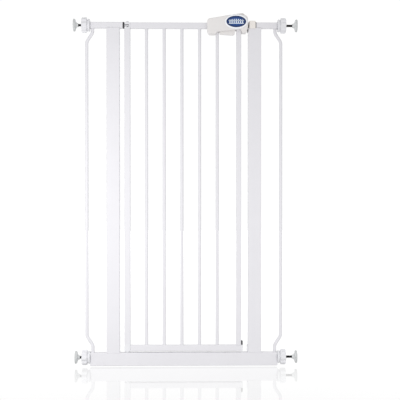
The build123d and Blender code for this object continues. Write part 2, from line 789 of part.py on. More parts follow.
def latch_carriage():
    """The plastic carriage that holds the bolt and carries the thumb catch; its right end
    follows the housing's inner face, which it meets at full travel."""
    half = carriage_width / 2
    z0 = latch_block_top + slide_clearance
    z1 = bolt_z + bolt_height / 2 + carriage_crown
    carriage = block(carriage_left, carriage_right, -half, half, z0, z1)
    room = offset(housing_outline(), -housing_wall - slide_clearance)
    carriage &= Pos(-bolt_travel, half, 0) * extrude(Plane.XZ * room, carriage_width)
    web = carriage_web / 2
    carriage += block(web_left, web_left + carriage_web_length, -web, web, z1, catch_under)
    half_y = bolt_width / 2
    half_z = bolt_height / 2
    return carriage - block(
        carriage_right - bolt_tail, carriage_right + cut_over,
        -half_y, half_y, bolt_z - half_z, bolt_z + half_z,
    )


def thumb_catch():
    """The sliding thumb catch on top of the handle: a wedge with finger grooves."""
    half = catch_width / 2
    right = catch_left + catch_length
    low_top = catch_under + catch_toe
    high_top = catch_under + catch_height
    outline = make_face(Polyline(
        (catch_left, catch_under),
        (catch_left, low_top),
        (right - catch_slope, high_top),
        (right, low_top),
        (right, catch_under),
        close=True,
    ))
    catch = Pos(0, half, 0) * extrude(Plane.XZ * outline, catch_width)
    catch = fillet(catch.edges().filter_by(Axis.Z), catch_corner)
    slope = (high_top - low_top) / (catch_length - catch_slope)
    for number in range(groove_count):
        x = right - catch_slope - (number + 1) * groove_pitch
        z = low_top + slope * (x - catch_left)
        catch -= rod(groove_radius, (x, -half + groove_inset, z), (x, half - groove_inset, z))
    return catch


def latch_spring():
    """The return spring, compressed between the corner block and the carriage."""
    radius = (spring_diameter - spring_wire) / 2
    height = spring_length - spring_wire - 2 * face_clearance
    coil = Helix(pitch=height / spring_turns, height=height, radius=radius)
    start = Plane(origin=coil @ 0, z_dir=coil % 0)
    spring = sweep(start * Circle(spring_wire / 2), path=coil, is_frenet=True)
    middle = spring_start + face_clearance + spring_wire / 2
    return Pos(middle, 0, bolt_z) * Rot(0, 90, 0) * spring


def trigger_lever():
    """The squeeze lever under the handle, hung on its pin at the left."""
    reach = trigger_eye / 2
    outline = rounded_outline([
        (trigger_x, trigger_top, 0.0),
        (trigger_end, trigger_top, trigger_round / 2),
        (trigger_end, trigger_top - trigger_thickness + trigger_tip_rise, trigger_round),
        (trigger_end - trigger_tip, trigger_top - trigger_thickness, trigger_round),
        (trigger_x - reach, trigger_top - trigger_root, trigger_round),
        (trigger_x - trigger_eye + edge_chamfer / 2, trigger_z - edge_chamfer, 0.0),
    ])
    half = trigger_width / 2
    lever = Pos(0, half, 0) * extrude(Plane.XZ * outline, trigger_width)
    lever += rod(trigger_eye, (trigger_x, -half, trigger_z), (trigger_x, half, trigger_z))
    bore = trigger_pin_diameter / 2 + running_clearance
    out = half + cut_over
    return lever - rod(bore, (trigger_x, -out, trigger_z), (trigger_x, out, trigger_z))


def trigger_pin():
    """The steel pin of the trigger, held between the two shells."""
    reach = cavity_half
    return rod(trigger_pin_diameter / 2, (trigger_x, -reach, trigger_z), (trigger_x, reach, trigger_z))


# ---------------------------------------------------------------- wall fixings
def nut_outer_face(place):
    return side_of(place) * (frame_end + nut_flange + nut_grip)


def hand_nut(place):
    """A lobed hand wheel with a flange that bears on the tube's end."""
    side = side_of(place)
    z = spindle_height(place)
    wheel = Circle(nut_diameter / 2)
    for number in range(nut_lobes):
        angle = 2 * pi * number / nut_lobes
        reach = nut_diameter / 2 + nut_scallop - nut_scallop_depth
        wheel -= Pos(reach * cos(angle), reach * sin(angle)) * Circle(nut_scallop)
    wheel = fillet(wheel.vertices(), nut_lobe_round)
    grip = extrude(wheel, nut_grip)
    grip = fillet(grip.faces().sort_by(Axis.Z)[-1].edges(), nut_edge)
    nut = Pos(0, 0, nut_flange) * grip
    flange = Pos(0, 0, nut_flange / 2) * Cylinder(nut_flange_diameter / 2, nut_flange)
    flange -= Pos(0, 0, face_clearance / 2) * Cylinder(nut_diameter, face_clearance)
    nut += flange
    bore = spindle_diameter / 2 + thread_clearance
    nut -= Pos(0, 0, nut_grip) * Cylinder(bore, 3 * nut_grip)
    return Pos(side * frame_end, 0, z) * Rot(0, side * 90, 0) * nut


def hub_base(place):
    """Where the pad's hub starts, at the end of the bare rod."""
    return nut_outer_face(place) + side_of(place) * bare_rod[place]


def spindle_rod(place):
    side = side_of(place)
    z = spindle_height(place)
    x_end = hub_base(place) + side * spindle_seat
    return rod(spindle_diameter / 2, (x_end - side * spindle_length, 0, z), (x_end, 0, z))


def pad_hub(place):
    """The trumpet-shaped plastic foot on the spindle's end."""
    tip = hub_tip_diameter / 2
    edge = pad_diameter / 2 - hub_inset
    rim = hub_length - hub_rim
    neck = (tip, rim - hub_neck)
    out, back = hub_flare
    profile = make_face([
        Line((0, 0), (tip - hub_tip_draft, 0)),
        Line((tip - hub_tip_draft, 0), neck),
        ThreePointArc(neck, (tip + out, rim - back), (edge, rim)),
        Line((edge, rim), (edge, hub_length)),
        Line((edge, hub_length), (0, hub_length)),
        Line((0, hub_length), (0, 0)),
    ])
    hub = revolve(Plane.XZ * profile, Axis.Z)
    seat = spindle_seat + cut_over
    hub -= Pos(0, 0, seat / 2 - cut_over) * Cylinder(spindle_diameter / 2, seat)
    return Pos(hub_base(place), 0, spindle_height(place)) * Rot(0, side_of(place) * 90, 0) * hub


def wall_pad(place):
    """The rubber disc that grips the wall."""
    side = side_of(place)
    pad = Pos(0, 0, hub_length + pad_thickness / 2) * Cylinder(pad_diameter / 2, pad_thickness)
    pad = fillet(pad.edges().filter_by(GeomType.CIRCLE), pad_edge)
    return Pos(hub_base(place), 0, spindle_height(place)) * Rot(0, side * 90, 0) * pad


# ---------------------------------------------------------------- the sub-parts
save("frame_bottom_rail", frame_bottom_rail())
save("hinge_post", post(-post_centre))
save("latch_post", post(post_centre))
save("hinge_side_arm", hinge_side_arm())
save("latch_side_arm", latch_side_arm())
save("hinge_side_outer_bar", outer_bar(-1))
save("latch_side_outer_bar", outer_bar(1))
save("hinge_arm_cap", hinge_arm_cap())
save("top_hinge_tongue", top_hinge_tongue())
save("keeper", keeper())
save("keeper_buffer", keeper_buffer())
save("bottom_guide_plate", bottom_guide_plate())

save("top_hinge_bush", top_hinge_bush())
save("bottom_hinge_bush", bottom_hinge_bush())

save("door_top_rail", door_top_rail())
save("door_bottom_rail", door_bottom_rail())
save("hinge_stile", hinge_stile())
save("latch_stile", latch_stile())
for number in range(1, bar_count + 1):
    save(f"door_bar_{number}", door_bar(number))
save("top_hinge_corner", top_hinge_corner())
save("top_hinge_pin", top_hinge_pin())
save("bottom_hinge_corner", bottom_hinge_corner())
save("bottom_hinge_peg", bottom_hinge_peg())
save("latch_block", latch_block())
save("bottom_latch_shoe", bottom_latch_shoe())
save("shoe_buffer", shoe_buffer())
save("housing_front", housing_shell(front=True))
save("housing_back", housing_shell(front=False))
save("housing_screws", housing_screws())
save("badge", badge())
save("trigger_pin", trigger_pin())
save("latch_spring", latch_spring())

save("latch_bolt", latch_bolt())
save("latch_carriage", latch_carriage())
save("thumb_catch", thumb_catch())
save("trigger_lever", trigger_lever())

for place in bare_rod:
    save(f"end_plug_{place}", end_plug(place))
    save(f"hand_nut_{place}", hand_nut(place))
    save(f"spindle_{place}", spindle_rod(place))
    save(f"pad_hub_{place}", pad_hub(place))
    save(f"wall_pad_{place}", wall_pad(place))
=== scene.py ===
import json
from math import cos, pi, radians, sin, sqrt

import bmesh
import bpy
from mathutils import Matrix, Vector, noise


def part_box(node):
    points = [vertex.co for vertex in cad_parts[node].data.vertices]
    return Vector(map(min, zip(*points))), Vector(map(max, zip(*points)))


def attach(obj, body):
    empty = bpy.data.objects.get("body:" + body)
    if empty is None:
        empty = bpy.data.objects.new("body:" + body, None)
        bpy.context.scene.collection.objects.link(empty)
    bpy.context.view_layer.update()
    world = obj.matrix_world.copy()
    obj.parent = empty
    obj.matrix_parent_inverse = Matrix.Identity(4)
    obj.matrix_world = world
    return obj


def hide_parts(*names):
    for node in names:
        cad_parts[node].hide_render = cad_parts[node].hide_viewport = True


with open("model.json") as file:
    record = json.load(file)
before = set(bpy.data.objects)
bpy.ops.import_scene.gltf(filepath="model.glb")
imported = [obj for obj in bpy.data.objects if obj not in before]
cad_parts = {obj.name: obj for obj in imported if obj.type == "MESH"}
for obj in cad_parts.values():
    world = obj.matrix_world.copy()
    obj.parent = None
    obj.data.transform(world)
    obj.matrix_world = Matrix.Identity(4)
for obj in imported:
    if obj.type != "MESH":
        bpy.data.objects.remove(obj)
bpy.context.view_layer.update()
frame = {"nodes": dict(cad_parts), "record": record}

nodes = frame["nodes"]
record = frame["record"]
MM = 0.001
PLACES = [n[len("hand_nut_"):] for n in sorted(nodes) if n.startswith("hand_nut_")]
SLOT_OF = {part["node"]: part["material_slot"] for part in record["subparts"]}


# ---------------------------------------------------------------- colours and nodes
def srgb(code):
    """An sRGB hex colour as the linear values that a shader takes."""
    values = []
    for k in (1, 3, 5):
        c = int(code[k:k + 2], 16) / 255
        values.append(c / 12.92 if c <= 0.04045 else ((c + 0.055) / 1.055) ** 2.4)
    return (*values, 1.0)


def add(tree, kind, settings=None, **links):
    """Adds a node with its own settings, and sets or links its sockets by name."""
    node = tree.nodes.new(kind)
    for name, value in (settings or {}).items():
        setattr(node, name, value)
    for name, value in links.items():
        key = int(name[1:]) if name[0] == "_" else name.replace("_", " ")
        socket = node.inputs[key]
        if isinstance(value, bpy.types.NodeSocket):
            tree.links.new(value, socket)
        else:
            socket.default_value = value
    return node


def new_tree(name):
    """An empty material and its node tree."""
    material = bpy.data.materials.new(name)
    material.use_nodes = True
    material.node_tree.nodes.clear()
    return material, material.node_tree


def per_metre(size_mm):
    """How often a pattern of that size repeats in a metre."""
    return 1000.0 / size_mm


def mottled(tree, light, dark, patch_mm):
    """Two close shades in soft patches, as a coated or moulded surface has."""
    place = add(tree, "ShaderNodeTexCoord")
    cloud = add(
        tree, "ShaderNodeTexNoise", Vector=place.outputs["Object"],
        Scale=per_metre(patch_mm), Detail=3.0, Roughness=0.55,
    )
    mix = add(
        tree, "ShaderNodeMix", {"data_type": "RGBA"},
        _0=cloud.outputs["Fac"], _6=srgb(dark), _7=srgb(light),
    )
    return place.outputs["Object"], mix.outputs[2]


# ---------------------------------------------------------------- materials
def white_powder_coat():
    """Epoxy-polyester powder, sprayed and baked on steel tube: an even satin white whose
    orange peel breaks up the highlight. The peel is 1.5 mm on the real tube and is drawn
    at 4 mm, so that it shows."""
    material, tree = new_tree("white_powder_coat")
    where, colour = mottled(tree, "#E0DFE3", "#DBDADE", 60.0)
    peel = add(tree, "ShaderNodeTexNoise", Vector=where, Scale=per_metre(4.0), Detail=2.0)
    bump = add(tree, "ShaderNodeBump", Strength=0.10, Distance=0.4 * MM, Height=peel.outputs["Fac"])
    gloss = add(
        tree, "ShaderNodeMapRange", Value=peel.outputs["Fac"],
        From_Min=0.3, From_Max=0.7, To_Min=0.30, To_Max=0.42,
    )
    shader = add(
        tree, "ShaderNodeBsdfPrincipled", Base_Color=colour, Roughness=gloss.outputs[0],
        IOR=1.5, Normal=bump.outputs[0],
    )
    add(tree, "ShaderNodeOutputMaterial", Surface=shader.outputs[0])
    return material


def moulded_plastic(name, light, dark, roughness, grain_mm, depth_mm, ior=1.5):
    """An injection-moulded part: one even colour with faint flow patches, and the fine
    spark-eroded grain of its mould, drawn at twice its size so that it shows."""
    material, tree = new_tree(name)
    where, colour = mottled(tree, light, dark, 25.0)
    grain = add(tree, "ShaderNodeTexNoise", Vector=where, Scale=per_metre(2 * grain_mm), Detail=4.0)
    bump = add(tree, "ShaderNodeBump", Strength=0.25, Distance=depth_mm * MM, Height=grain.outputs["Fac"])
    gloss = add(
        tree, "ShaderNodeMapRange", Value=grain.outputs["Fac"],
        From_Min=0.3, From_Max=0.7, To_Min=roughness - 0.05, To_Max=roughness + 0.07,
    )
    shader = add(
        tree, "ShaderNodeBsdfPrincipled", Base_Color=colour, Roughness=gloss.outputs[0],
        IOR=ior, Normal=bump.outputs[0],
    )
    add(tree, "ShaderNodeOutputMaterial", Surface=shader.outputs[0])
    return material


def plated_steel(name, light, dark, roughness, scratch_mm):
    """Electroplated steel: fine drawn lines along the part that stretch the highlight."""
    material, tree = new_tree(name)
    where, colour = mottled(tree, light, dark, 6.0)
    stretched = add(tree, "ShaderNodeMapping", Vector=where, Scale=(0.06, 1.0, 1.0))
    lines = add(
        tree, "ShaderNodeTexNoise", Vector=stretched.outputs[0], Scale=per_metre(scratch_mm), Detail=3.0
    )
    bump = add(tree, "ShaderNodeBump", Strength=0.2, Distance=0.05 * MM, Height=lines.outputs["Fac"])
    gloss = add(
        tree, "ShaderNodeMapRange", Value=lines.outputs["Fac"],
        From_Min=0.3, From_Max=0.7, To_Min=roughness - 0.08, To_Max=roughness + 0.08,
    )
    shader = add(
        tree, "ShaderNodeBsdfPrincipled", Base_Color=colour, Metallic=1.0,
        Roughness=gloss.outputs[0], Normal=bump.outputs[0],
    )
    add(tree, "ShaderNodeOutputMaterial", Surface=shader.outputs[0])
    return material


def blue_badge_print():
    """Blue ink under clear resin: deep navy at the oval's edge, a brighter blue in the
    middle, and a soft sheen from the domed resin."""
    low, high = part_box("badge")
    middle = (low + high) / 2
    half = (high - low) / 2
    material, tree = new_tree("blue_badge_print")
    place = add(tree, "ShaderNodeTexCoord")
    centred = add(
        tree, "ShaderNodeMapping", {"vector_type": "TEXTURE"}, Vector=place.outputs["Object"],
        Location=middle, Scale=(half.x, 1.0, half.z),
    )
    parts = add(tree, "ShaderNodeSeparateXYZ", Vector=centred.outputs[0])
    flat = add(tree, "ShaderNodeCombineXYZ", X=parts.outputs["X"], Z=parts.outputs["Z"])
    distance = add(tree, "ShaderNodeVectorMath", {"operation": "LENGTH"}, _0=flat.outputs[0])
    shades = add(tree, "ShaderNodeValToRGB", Fac=distance.outputs["Value"])
    for position, code in ((0.55, "#003F85"), (0.9, "#002C62")):
        element = shades.color_ramp.elements.new(position)
        element.color = srgb(code)
    shades.color_ramp.elements[0].color = srgb("#00468E")
    shades.color_ramp.elements[-1].color = srgb("#001F4A")
    ink = add(tree, "ShaderNodeTexNoise", Vector=place.outputs["Object"], Scale=per_metre(1.2), Detail=2.0)
    speckle = add(
        tree, "ShaderNodeHueSaturation", Color=shades.outputs[0],
        Value=add(
            tree, "ShaderNodeMapRange", Value=ink.outputs["Fac"], To_Min=0.92, To_Max=1.08
        ).outputs[0],
    )
    shader = add(
        tree, "ShaderNodeBsdfPrincipled", Base_Color=speckle.outputs[0], Roughness=0.35,
        IOR=1.45, Coat_Weight=0.15, Coat_Roughness=0.12,
    )
    add(tree, "ShaderNodeOutputMaterial", Surface=shader.outputs[0])
    return material


def studio_floor_white():
    """A polished sheet of opal acrylic lit from below: an even white that takes no shadow,
    with a faint mirror image of what stands on it."""
    material, tree = new_tree("studio_floor_white")
    colour = mottled(tree, "#FDFDFD", "#FAFAFA", 400.0)[1]
    shader = add(
        tree, "ShaderNodeBsdfPrincipled", Base_Color=srgb("#303030"), Roughness=0.04, IOR=1.6,
        Emission_Color=colour, Emission_Strength=0.68,
    )
    add(tree, "ShaderNodeOutputMaterial", Surface=shader.outputs[0])
    return material


MATERIALS = {
    "white_powder_coat": white_powder_coat(),
    "white_plastic": moulded_plastic("white_abs", "#E6E3E2", "#E1DEDD", 0.36, 0.5, 0.06),
    "white_nylon": moulded_plastic("cool_white_nylon", "#E4E4E7", "#DDDDE1", 0.40, 0.6, 0.07),
    "ivory_plastic": moulded_plastic("ivory_nylon", "#ECE7E2", "#E4DFDA", 0.45, 0.6, 0.08),
    "grey_white_plastic": moulded_plastic("grey_white_nylon", "#DCDEDE", "#D3D5D5", 0.42, 0.6, 0.08),
    "dark_plastic": moulded_plastic("graphite_nylon", "#3A3A3D", "#2D2D30", 0.5, 0.6, 0.08),
    "pale_rubber": moulded_plastic("pale_grey_rubber", "#CDCFCF", "#C4C6C6", 0.62, 1.0, 0.12),
    "zinc_plated_steel": plated_steel("bright_zinc_plate", "#C9CBCE", "#B2B5BA", 0.30, 0.6),
    "dark_zinc_steel": plated_steel("black_zinc_plate", "#3C3C3E", "#232325", 0.34, 0.8),
    "spring_steel": plated_steel("drawn_spring_wire", "#A7A9AC", "#8D9094", 0.28, 0.4),
    "blue_badge": blue_badge_print(),
    "badge_border": moulded_plastic("gloss_white_border", "#F4F6FA", "#EDF0F6", 0.22, 0.5, 0.02),
    "badge_print": moulded_plastic("pale_blue_ink", "#EEF5FC", "#DCEAF8", 0.5, 0.5, 0.02),
}


# ---------------------------------------------------------------- pieces
def make_piece(name, mesh_build, body, finish, replaces=(), smooth=True):
    """Turns a bmesh into a piece that rides on a body."""
    mesh = bpy.data.meshes.new(name)
    bmesh.ops.recalc_face_normals(mesh_build, faces=mesh_build.faces)
    mesh_build.to_mesh(mesh)
    mesh_build.free()
    for polygon in mesh.polygons:
        polygon.use_smooth = smooth
    piece = bpy.data.objects.new(name, mesh)
    bpy.context.scene.collection.objects.link(piece)
    mesh.materials.append(MATERIALS[finish])
    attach(piece, body)
    if replaces:
        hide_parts(*replaces)
    return piece


def ring_strip(build, rings, closed_ends=False):
    """Joins rings of points, all with the same number, into a skin."""
    loops = [[build.verts.new(point) for point in ring] for ring in rings]
    count = len(loops[0])
    for a, b in zip(loops, loops[1:]):
        for k in range(count):
            m = (k + 1) % count
            build.faces.new((a[k], a[m], b[m], b[k]))
    if closed_ends:
        build.faces.new(loops[0])
        build.faces.new(loops[-1])
    return loops


def spindle_side(place):
    """-1 for the hinge side, 1 for the latch side."""
    return -1 if place.startswith("hinge") else 1


def axis_height(place):
    """The height of a spindle's axis."""
    low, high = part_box("spindle_" + place)
    return (low.z + high.z) / 2


def turned(build, place, profile, segments, radius_at=None):
    """Turns a profile of (distance outwards, radius) points round a spindle's axis, closed
    from its last point to its first. radius_at(radius, angle, number) may shape the rings."""
    side = spindle_side(place)
    z = axis_height(place)
    rings = []
    for number, (out, radius) in enumerate(profile):
        ring = []
        for k in range(segments):
            angle = 2 * pi * k / segments
            r = radius_at(radius, angle, number) if radius_at else radius
            ring.append((side * out, r * sin(angle), z + r * cos(angle)))
        rings.append(ring)
    ring_strip(build, rings + rings[:1])
    bmesh.ops.remove_doubles(build, verts=build.verts, dist=1e-7)


def soften(piece, width_mm, segments=2, angle=35.0):
    """A rounded edge and even shading, as a moulding or a tumbled part has."""
    bevel = piece.modifiers.new("rounded_edges", "BEVEL")
    bevel.width = width_mm * MM
    bevel.segments = segments
    bevel.limit_method = "ANGLE"
    bevel.angle_limit = radians(angle)
    bevel.harden_normals = False
    piece.modifiers.new("even_shading", "WEIGHTED_NORMAL").keep_sharp = True


def threaded_spindle(place):
    """The steel rod with its rolled thread."""
    low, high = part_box("spindle_" + place)
    side = spindle_side(place)
    z = axis_height(place)
    crest = (high.z - low.z) / 2
    pitch = 2.0 * MM
    depth = 0.75 * MM
    steps_per_turn = 8
    segments = 24
    count = int((high.x - low.x) / pitch * steps_per_turn)
    build = bmesh.new()
    rings = []
    for step in range(count + 1):
        x = low.x + (high.x - low.x) * step / count
        ring = []
        for k in range(segments):
            angle = 2 * pi * k / segments
            turn = (x - low.x) / pitch * side - k / segments
            ridge = abs(2 * (turn % 1.0) - 1)
            r = crest - depth * min(1.0, 1.25 * ridge)
            ring.append((x, r * sin(angle), z + r * cos(angle)))
        rings.append(ring)
    ring_strip(build, rings, closed_ends=True)
    return make_piece(
        "thread_" + place, build, "foot_" + place, "dark_zinc_steel", replaces=["spindle_" + place]
    )


def hand_wheel(place):
    """The lobed hand nut: a round flange towards the tube, then a wheel with soft lobes and
    a dished outer face."""
    low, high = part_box("hand_nut_" + place)
    start = min(abs(low.x), abs(high.x))
    rim = (high.y - low.y) / 2
    lobes = 8
    scallop = 3.2 * MM
    bore = 4.05 * MM
    # distance from the tube, radius, and how much of the scallop each ring has
    profile = [
        (0.0, bore, 0.0), (0.0, 15.0, 0.0), (0.0, 17.6, 0.0), (0.5, 18.6, 0.0), (1.2, 19.0, 0.0),
        (4.6, 19.0, 0.0), (5.4, 18.6, 0.0), (6.0, 17.0, 0.0), (7.2, 16.6, 0.0), (8.4, 18.4, 0.3),
        (8.9, 21.4, 0.8), (9.4, 23.0, 1.0), (10.6, 23.8, 1.0), (12.5, 24.0, 1.0),
        (20.5, 24.0, 1.0), (22.6, 23.7, 1.0), (24.0, 22.6, 0.9), (24.7, 20.9, 0.7),
        (24.9, 18.8, 0.4), (24.6, 17.2, 0.1), (22.6, 16.4, 0.0), (21.8, 14.6, 0.0), (21.8, 11.0, 0.0),
        (22.4, 9.8, 0.0), (24.4, 9.2, 0.0), (24.9, 8.4, 0.0), (24.9, 6.0, 0.0), (24.4, bore, 0.0),
    ]
    outline = [
        (start + out * MM, radius if radius == bore else radius * MM) for out, radius, share in profile
    ]

    def lobed(radius, angle, number):
        wave = 0.5 + 0.5 * cos(lobes * angle)
        share = profile[number % len(profile)][2]
        return min(radius, rim) - share * scallop * (1 - wave) ** 1.6

    build = bmesh.new()
    turned(build, place, outline, 16 * lobes, lobed)
    return make_piece(
        "hand_wheel_" + place, build, "nut_" + place, "white_nylon", replaces=["hand_nut_" + place]
    )


def trumpet_foot(place):
    """The trumpet-shaped foot between the spindle and the pad."""
    low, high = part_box("pad_hub_" + place)
    start = min(abs(low.x), abs(high.x))
    length = high.x - low.x
    rim = (high.z - low.z) / 2
    neck = 6.4 * MM
    outline = [(start, 4.02 * MM), (start, neck - 0.8 * MM), (start + 0.4 * MM, neck)]
    steps = 12
    for k in range(steps + 1):
        share = k / steps
        out = start + 2.0 * MM + share * (length - 3.6 * MM)
        outline.append((out, neck + (rim - neck) * share ** 2.6))
    outline += [(start + length - 0.6 * MM, rim), (start + length, rim - 0.4 * MM)]
    outline += [(start + length, 6.0 * MM), (start + length - 1.0 * MM, 4.02 * MM)]
    build = bmesh.new()
    turned(build, place, outline, 72)
    return make_piece(
        "trumpet_foot_" + place, build, "foot_" + place, "grey_white_plastic",
        replaces=["pad_hub_" + place],
    )


def rubber_pad(place):
    """The rubber disc, with a rounded lip and ring grooves in the face that meets the wall."""
    low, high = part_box("wall_pad_" + place)
    start = min(abs(low.x), abs(high.x))
    thick = high.x - low.x
    rim = (high.z - low.z) / 2
    outline = [(start, 1.0 * MM), (start, rim - 0.9 * MM), (start + 0.3 * MM, rim - 0.25 * MM)]
    outline += [(start + 1.0 * MM, rim), (start + thick - 0.9 * MM, rim)]
    outline += [(start + thick - 0.25 * MM, rim - 0.3 * MM), (start + thick, rim - 1.0 * MM)]
    groove_pitch = 3.4 * MM
    groove_depth = 0.9 * MM
    radius = rim - 2.2 * MM
    while radius > 4 * MM:
        outline += [(start + thick, radius), (start + thick - groove_depth, radius - 0.5 * MM)]
        outline += [(start + thick - groove_depth, radius - 1.1 * MM), (start + thick, radius - 1.6 * MM)]
        radius -= groove_pitch
    outline += [(start + thick, 1.0 * MM)]
    build = bmesh.new()
    turned(build, place, outline, 72)
    return make_piece(
        "rubber_pad_" + place, build, "foot_" + place, "pale_rubber", replaces=["wall_pad_" + place]
    )


def bottom_bush():
    """The flanged bush that the door stands on, with an eased rim."""
    low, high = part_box("bottom_hinge_bush")
    peg_low, peg_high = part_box("bottom_hinge_peg")
    centre_x = (low.x + high.x) / 2
    rim = (high.x - low.x) / 2
    bore = (peg_high.x - peg_low.x) / 2 + 0.05 * MM
    spigot = bore + 1.0 * MM
    rail_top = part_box("frame_bottom_rail")[1].z + 0.1 * MM
    ease = 0.6 * MM
    profile = [
        (low.z, bore), (low.z, spigot), (rail_top, spigot), (rail_top, rim - ease),
        (rail_top + ease, rim), (high.z - ease, rim), (high.z, rim - ease), (high.z, bore),
    ]
    build = bmesh.new()
    rings = [
        [(centre_x + r * cos(2 * pi * k / 64), r * sin(2 * pi * k / 64), z) for k in range(64)]
        for z, r in profile
    ]
    ring_strip(build, rings + rings[:1])
    bmesh.ops.remove_doubles(build, verts=build.verts, dist=1e-7)
    piece = make_piece(
        "bottom_bush", build, "hinge_bushes", "white_nylon", replaces=["bottom_hinge_bush"]
    )
    piece.modifiers.new("even_shading", "WEIGHTED_NORMAL").keep_sharp = True


def bead(build, path, radius, seed):
    """A weld bead: a small round ridge along a closed path, a little uneven."""
    count = len(path)
    sides = 8
    rings = []
    for k, point in enumerate(path):
        along = (path[(k + 1) % count] - path[k - 1]).normalized()
        up = Vector((0, 0, 1)) if abs(along.z) < 0.9 else Vector((1, 0, 0))
        across = along.cross(up).normalized()
        up = across.cross(along)
        r = radius * (1 + 0.25 * noise.noise(point * 900 + Vector((seed, 0, 0))))
        ring = []
        for m in range(sides):
            angle = 2 * pi * m / sides
            ring.append(point + r * (across * cos(angle) + up * sin(angle)))
        rings.append(ring)
    ring_strip(build, rings + rings[:1])
    bmesh.ops.remove_doubles(build, verts=build.verts, dist=1e-7)


def circle_path(x, z, radius, count=32):
    """A circle in X and Y at a height."""
    return [
        Vector((x + radius * cos(2 * pi * k / count), radius * sin(2 * pi * k / count), z))
        for k in range(count)
    ]


def rounded_path(x, z, width, depth, corner, per_corner=5, per_side=24):
    """A rounded rectangle in X and Y at a height."""
    points = []
    for cx, cy, first in ((1, 1, 0), (-1, 1, 1), (-1, -1, 2), (1, -1, 3)):
        centre = Vector((x + cx * (width / 2 - corner), cy * (depth / 2 - corner), z))
        for k in range(per_corner + 1):
            angle = (first + k / per_corner) * pi / 2
            points.append(centre + corner * Vector((cos(angle), sin(angle), 0)))
    return points


def middle_x(node):
    """The middle of a sub-part along X."""
    low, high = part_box(node)
    return (low.x + high.x) / 2


def weld_beads():
    """The beads where round bars and posts meet the rails."""
    rail_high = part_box("frame_bottom_rail")[1]
    arm_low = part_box("hinge_side_arm")[0].z
    door_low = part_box("door_bottom_rail")[1].z
    door_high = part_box("door_top_rail")[0].z
    bars = [n for n in sorted(nodes) if n.startswith("door_bar_")]
    radius = 1.1 * MM
    build = bmesh.new()
    for number, bar in enumerate(bars):
        low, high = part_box(bar)
        around = (high.x - low.x) / 2 + 0.3 * MM
        bead(build, circle_path(middle_x(bar), door_low, around), radius, number)
        bead(build, circle_path(middle_x(bar), door_high, around), radius, number + 7)
    tube_corner = 2.5 * MM
    low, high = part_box("latch_stile")
    path = rounded_path(middle_x("latch_stile"), door_low, high.x - low.x, high.y - low.y, tube_corner)
    bead(build, path, radius, 31)
    make_piece("door_weld_beads", build, "door", "white_powder_coat")

    build = bmesh.new()
    inset = 5.0 * MM
    for side in (-1, 1):
        name = "hinge_side_outer_bar" if side < 0 else "latch_side_outer_bar"
        low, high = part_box(name)
        x = (high.x if side < 0 else low.x) - side * -inset
        around = inset + 0.3 * MM
        bead(build, circle_path(x, rail_high.z, around), radius, 11 + side)
        bead(build, circle_path(x, arm_low, around), radius, 17 + side)
    for number, post in enumerate(("hinge_post", "latch_post")):
        low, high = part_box(post)
        width, depth = high.x - low.x, high.y - low.y
        for z in (rail_high.z, arm_low):
            path = rounded_path(middle_x(post), z, width - 0.6 * MM, depth - 0.6 * MM, tube_corner)
            bead(build, path, radius, 41 + number)
    make_piece("frame_weld_beads", build, "frame", "white_powder_coat")


def oval_ring(build, centre, half_x, half_z, profile, count=96):
    """A closed ring round an oval; the profile is (outwards, forwards) points."""
    rings = []
    for k in range(count):
        angle = 2 * pi * k / count
        normal = Vector((cos(angle) / half_x, 0, sin(angle) / half_z)).normalized()
        base = centre + Vector((half_x * cos(angle), 0, half_z * sin(angle)))
        rings.append([base + normal * out + Vector((0, -ahead, 0)) for out, ahead in profile])
    ring_strip(build, rings + rings[:1])
    bmesh.ops.remove_doubles(build, verts=build.verts, dist=1e-7)


def keeper_shadow_strip():
    """A dark plastic strip round the arm at the keeper's mouth: painted shade, standing in for the shadow
    line where the keeper meets the arm.
    """
    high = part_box("keeper")[1]
    arm_low, arm_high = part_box("latch_side_arm")
    width = 2.0 * MM
    proud = 0.6 * MM
    corner = 2.5 * MM
    count = 48
    half = (arm_high.y - arm_low.y) / 2 + proud
    z = (arm_low.z + arm_high.z) / 2
    # points at even angles round a square
    ring = []
    for k in range(count):
        across, up = cos(2 * pi * k / count), sin(2 * pi * k / count)
        widest = max(abs(across), abs(up))
        ring.append((half * across / widest, half * up / widest))
    share = 1 - corner / half * 0.2
    rings = [
        [(high.x + out, y * scale, z + up * scale) for y, up in ring]
        for out, scale in ((0.0, share), (0.0, 1.0), (width, 1.0), (width, share))
    ]
    build = bmesh.new()
    ring_strip(build, rings + rings[:1])
    bmesh.ops.remove_doubles(build, verts=build.verts, dist=1e-7)
    # painted shade: a dark strip put where the keeper's joint with the arm is only in shadow
    make_piece("keeper_painted_shadow", build, "frame", "dark_plastic")


